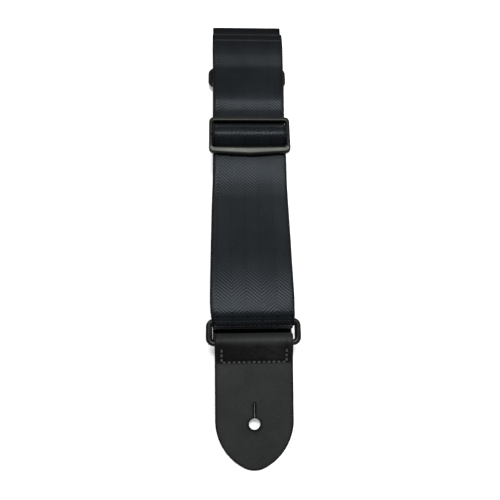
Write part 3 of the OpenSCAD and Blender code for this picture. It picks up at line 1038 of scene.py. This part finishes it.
# --------------------------------------------------------------------------------------- slider and rings
def slider_piece():
    """Moulded slider: a frame with soft edges and a pointed near bar, its centre bar in the middle."""
    half = (FRAME_HI[0] - FRAME_LO[0]) / 2
    win_x, win_y = half - SIDE_WALL, 9.7 * MM
    far, near = win_y + 3.0 * MM, win_y + 4.2 * MM      # the outer edges of the far and the near bar
    point = 1.7 * MM                                    # how far the near bar's point stands out
    thick = 3.8 * MM
    steps = 9

    def corner(cx, cy, r, start):
        angles = [math.radians(start + 90 * i / steps) for i in range(steps + 1)]
        return [(cx + r * math.cos(a), cy + r * math.sin(a)) for a in angles]

    def outline(x, y_far, y_near, r, middle):
        """Round-cornered rectangle with one more point in the middle of its near side."""
        return (corner(x - r, y_far - r, r, 0) + corner(-x + r, y_far - r, r, 90)
                + corner(-x + r, -y_near + r, r, 180) + [(0, -middle)] + corner(x - r, -y_near + r, r, 270))

    outer = outline(half, far, near, 3.4 * MM, near + point)
    inner = outline(win_x, win_y, win_y, 1.3 * MM, win_y)
    # (share of the way to the outer outline, share of the height, inset), from the inner bottom edge over the top
    profile = [(0.0, 0.0, 0.10), (0.0, 0.25, 0.0), (0.0, 0.72, 0.0), (0.05, 0.9, 0.0), (0.16, 0.985, 0.0),
               (0.30, 1.0, 0.0), (0.70, 1.0, 0.0), (0.84, 0.985, 0.0), (0.95, 0.9, 0.0), (1.0, 0.72, 0.0),
               (1.0, 0.25, 0.0), (0.93, 0.0, 0.0)]

    def slope(y):
        """The pointed bar's top falls away towards its outer edge."""
        return 1.1 * MM * min(max((-y - win_y) / (near + point - win_y), 0), 1)

    verts = []
    for mix, z, inset in profile:
        k = mix if z > 0 or mix > 0.5 else inset
        for (ox, oy), (ix, iy) in zip(outer, inner):
            y = iy + (oy - iy) * k
            verts.append((ix + (ox - ix) * k, y, z * (thick - slope(y))))
    frame_part = new_object("slider_moulding", verts, tube_faces(len(profile), len(outer), closed=True))
    recalc_normals(frame_part)
    base = WEB_T / 2 + GAP + 0.05 * MM   # the frame's underside above the middle of the webbing
    bm = bmesh.new()
    bm.from_mesh(frame_part.data)
    bar_steps, around, most_flare = 12, 24, 0.35 * MM
    rings = []
    for i in range(bar_steps + 1):
        x = (win_x + 1.4 * MM) * (2 * i / bar_steps - 1)
        flare = most_flare * max(0, (abs(x) - (win_x - 1.2 * MM)) / (1.2 * MM)) ** 2
        rad = 1.5 * MM + min(flare, most_flare)
        rings.append([(x, rad * math.cos(q), BAR_UP - base + rad * math.sin(q))
                      for q in (k * math.tau / around for k in range(around))])
    add_tube(bm, rings)
    bpy.data.objects.remove(frame_part, do_unlink=True)
    obj = object_of("slider_moulding", bm)
    obj.data.transform(Matrix.Translation((0, SLIDER_Y, SLIDER_MID))
                       @ Matrix.Rotation(H_FRONT, 4, "X") @ Matrix.Translation((0, 0, base)))
    return obj


finish_piece(slider_piece(), SLIDER_PLASTIC, "slider", ("slider_frame",))

RING_W = box("rear_ring")[1][0] - box("rear_ring")[0][0]
RING_PITCH = REAR_BAR[0] - REAR_TAB_BAR[0]


def ring_piece(name, at, tilt):
    """Rectangular ring of moulded rod with round corners and a faint parting line round its outside."""
    half = RING_W / 2 - ROD_R
    corner_r = 3.2 * MM
    to_x, to_y = half - corner_r, RING_PITCH / 2 - corner_r
    # the rod's middle, and the direction outwards there
    centre = []
    for cx, cy, start in ((to_x, to_y, 0), (-to_x, to_y, 90), (-to_x, -to_y, 180), (to_x, -to_y, 270)):
        for i in range(11):
            a = math.radians(start + 9 * i)
            centre.append((cx + corner_r * math.cos(a), cy + corner_r * math.sin(a), math.cos(a), math.sin(a)))
    # extra points on the straight bars, so that they keep an even surface
    dense = []
    m = len(centre)
    for i in range(m):
        p, q = centre[i], centre[(i + 1) % m]
        n = max(1, round(math.hypot(q[0] - p[0], q[1] - p[1]) / (2.5 * MM)))
        for k in range(n):
            t = k / n
            nx, ny = p[2] + (q[2] - p[2]) * t, p[3] + (q[3] - p[3]) * t
            ln = math.hypot(nx, ny)
            dense.append((p[0] + (q[0] - p[0]) * t, p[1] + (q[1] - p[1]) * t, nx / ln, ny / ln))
    around = 32
    verts = []
    for x, y, nx, ny in dense:
        for k in range(around):
            a = k * math.tau / around
            outside = math.cos(a) > 0
            parting = 0.045 * MM * math.exp(-((math.sin(a) * 9) ** 2)) if outside else 0.0
            rr = ROD_R - 0.04 * MM + parting
            wider = 0.5 * MM * nx * nx if math.cos(a) < 0 else 0.0      # the side bars, towards the inside
            out = (rr + wider) * math.cos(a)
            verts.append((x + nx * out, y + ny * out, rr * math.sin(a)))
    obj = new_object(name, verts, tube_faces(len(dense), around, closed=True))
    recalc_normals(obj)
    obj.data.transform(Matrix.Translation((0, -RING_PITCH / 2, 0)))
    return put(obj, at, tilt)


RING_TILT = math.atan2(FRONT_BAR[1] - FRONT_TAB_BAR[1], FRONT_BAR[0] - FRONT_TAB_BAR[0])
finish_piece(ring_piece("front_ring_moulding", FRONT_BAR, RING_TILT), RING_PLASTIC, "front_ring",
             ("front_ring",))
finish_piece(ring_piece("rear_ring_moulding", REAR_BAR, 0), RING_PLASTIC, "rear_ring", ("rear_ring",))

# ---------------------------------------------------------------------------------------- stage and light
floor_mat, floor_nodes = new_material("pale_floor")
floor_nodes.look(Base_Color=(0.93, 0.93, 0.93, 1), Roughness=0.9, Specular_IOR_Level=0.1,
                 Emission_Color=(1, 1, 1, 1), Emission_Strength=0.3)
FLOOR_Z = -0.4 * MM                   # below the rear leather's stitches
floor = new_object("floor", [(-3, -3, FLOOR_Z), (3, -3, FLOOR_Z), (3, 3, FLOOR_Z), (-3, 3, FLOOR_Z)],
                   [(0, 1, 2, 3)], smooth=False)
floor.data.materials.append(floor_mat)


def area_light(name, place, aim, size, watts):
    light = bpy.data.lights.new(name, "AREA")
    light.shape = "RECTANGLE"
    light.size, light.size_y = size
    light.energy = watts
    obj = bpy.data.objects.new(name, light)
    obj.location = place
    obj.rotation_euler = (Vector(aim) - Vector(place)).to_track_quat("-Z", "Y").to_euler()
    bpy.context.scene.collection.objects.link(obj)


area_light("overhead_softbox", (0.0, 0.42, 2.5), (0, 0, 0.02), (1.2, 0.36), 76)
area_light("back_softbox", (0.0, 2.05, 2.2), (0, 0.1, 0.02), (1.0, 0.5), 8)
area_light("front_softbox", (-0.2, -1.05, 1.9), (0, -0.1, 0.01), (1.2, 0.6), 4)
area_light("side_softbox", (1.3, 0.1, 0.9), (0, 0, 0.01), (0.5, 0.8), 4)

# bright towards the horizon and dim above, so that the backdrop is pale from every side
world = bpy.data.worlds.new("studio")
bpy.context.scene.world = world
sky = Nodes(world)
sky_xyz = sky.new("ShaderNodeSeparateXYZ")
sky.link(sky.new("ShaderNodeTexCoord").outputs["Generated"], sky_xyz.inputs[0])
background = sky.tree.nodes["Background"]
background.inputs["Color"].default_value = (1, 1, 1, 1)
sky.link(sky.range(sky_xyz.outputs[2], 0.12, 0.32, 0.8, 0.04), background.inputs["Strength"])
bpy.context.scene.view_settings.view_transform = "Standard"
bpy.context.scene.view_settings.look = "None"

# -------------------------------------------------------------- camera, fitted to the photo's outline
CAM_AT = Vector((-14.67, -119.99, 324.0)) * MM
CAM_PITCH, CAM_ROLL, CAM_TURN = (math.radians(x) for x in (17.85, 7.16, -7.98))
cam_data = bpy.data.cameras.new("camera")
cam_data.sensor_width = 36
cam_data.lens = 36
cam_data.clip_start = 0.01
cam = bpy.data.objects.new("camera", cam_data)
cam.matrix_world = (Matrix.Translation(CAM_AT) @ Matrix.Rotation(CAM_TURN, 4, "Z")
                    @ Matrix.Rotation(CAM_PITCH, 4, "X") @ Matrix.Rotation(CAM_ROLL, 4, "Z"))
bpy.context.scene.collection.objects.link(cam)
bpy.context.scene.camera = cam
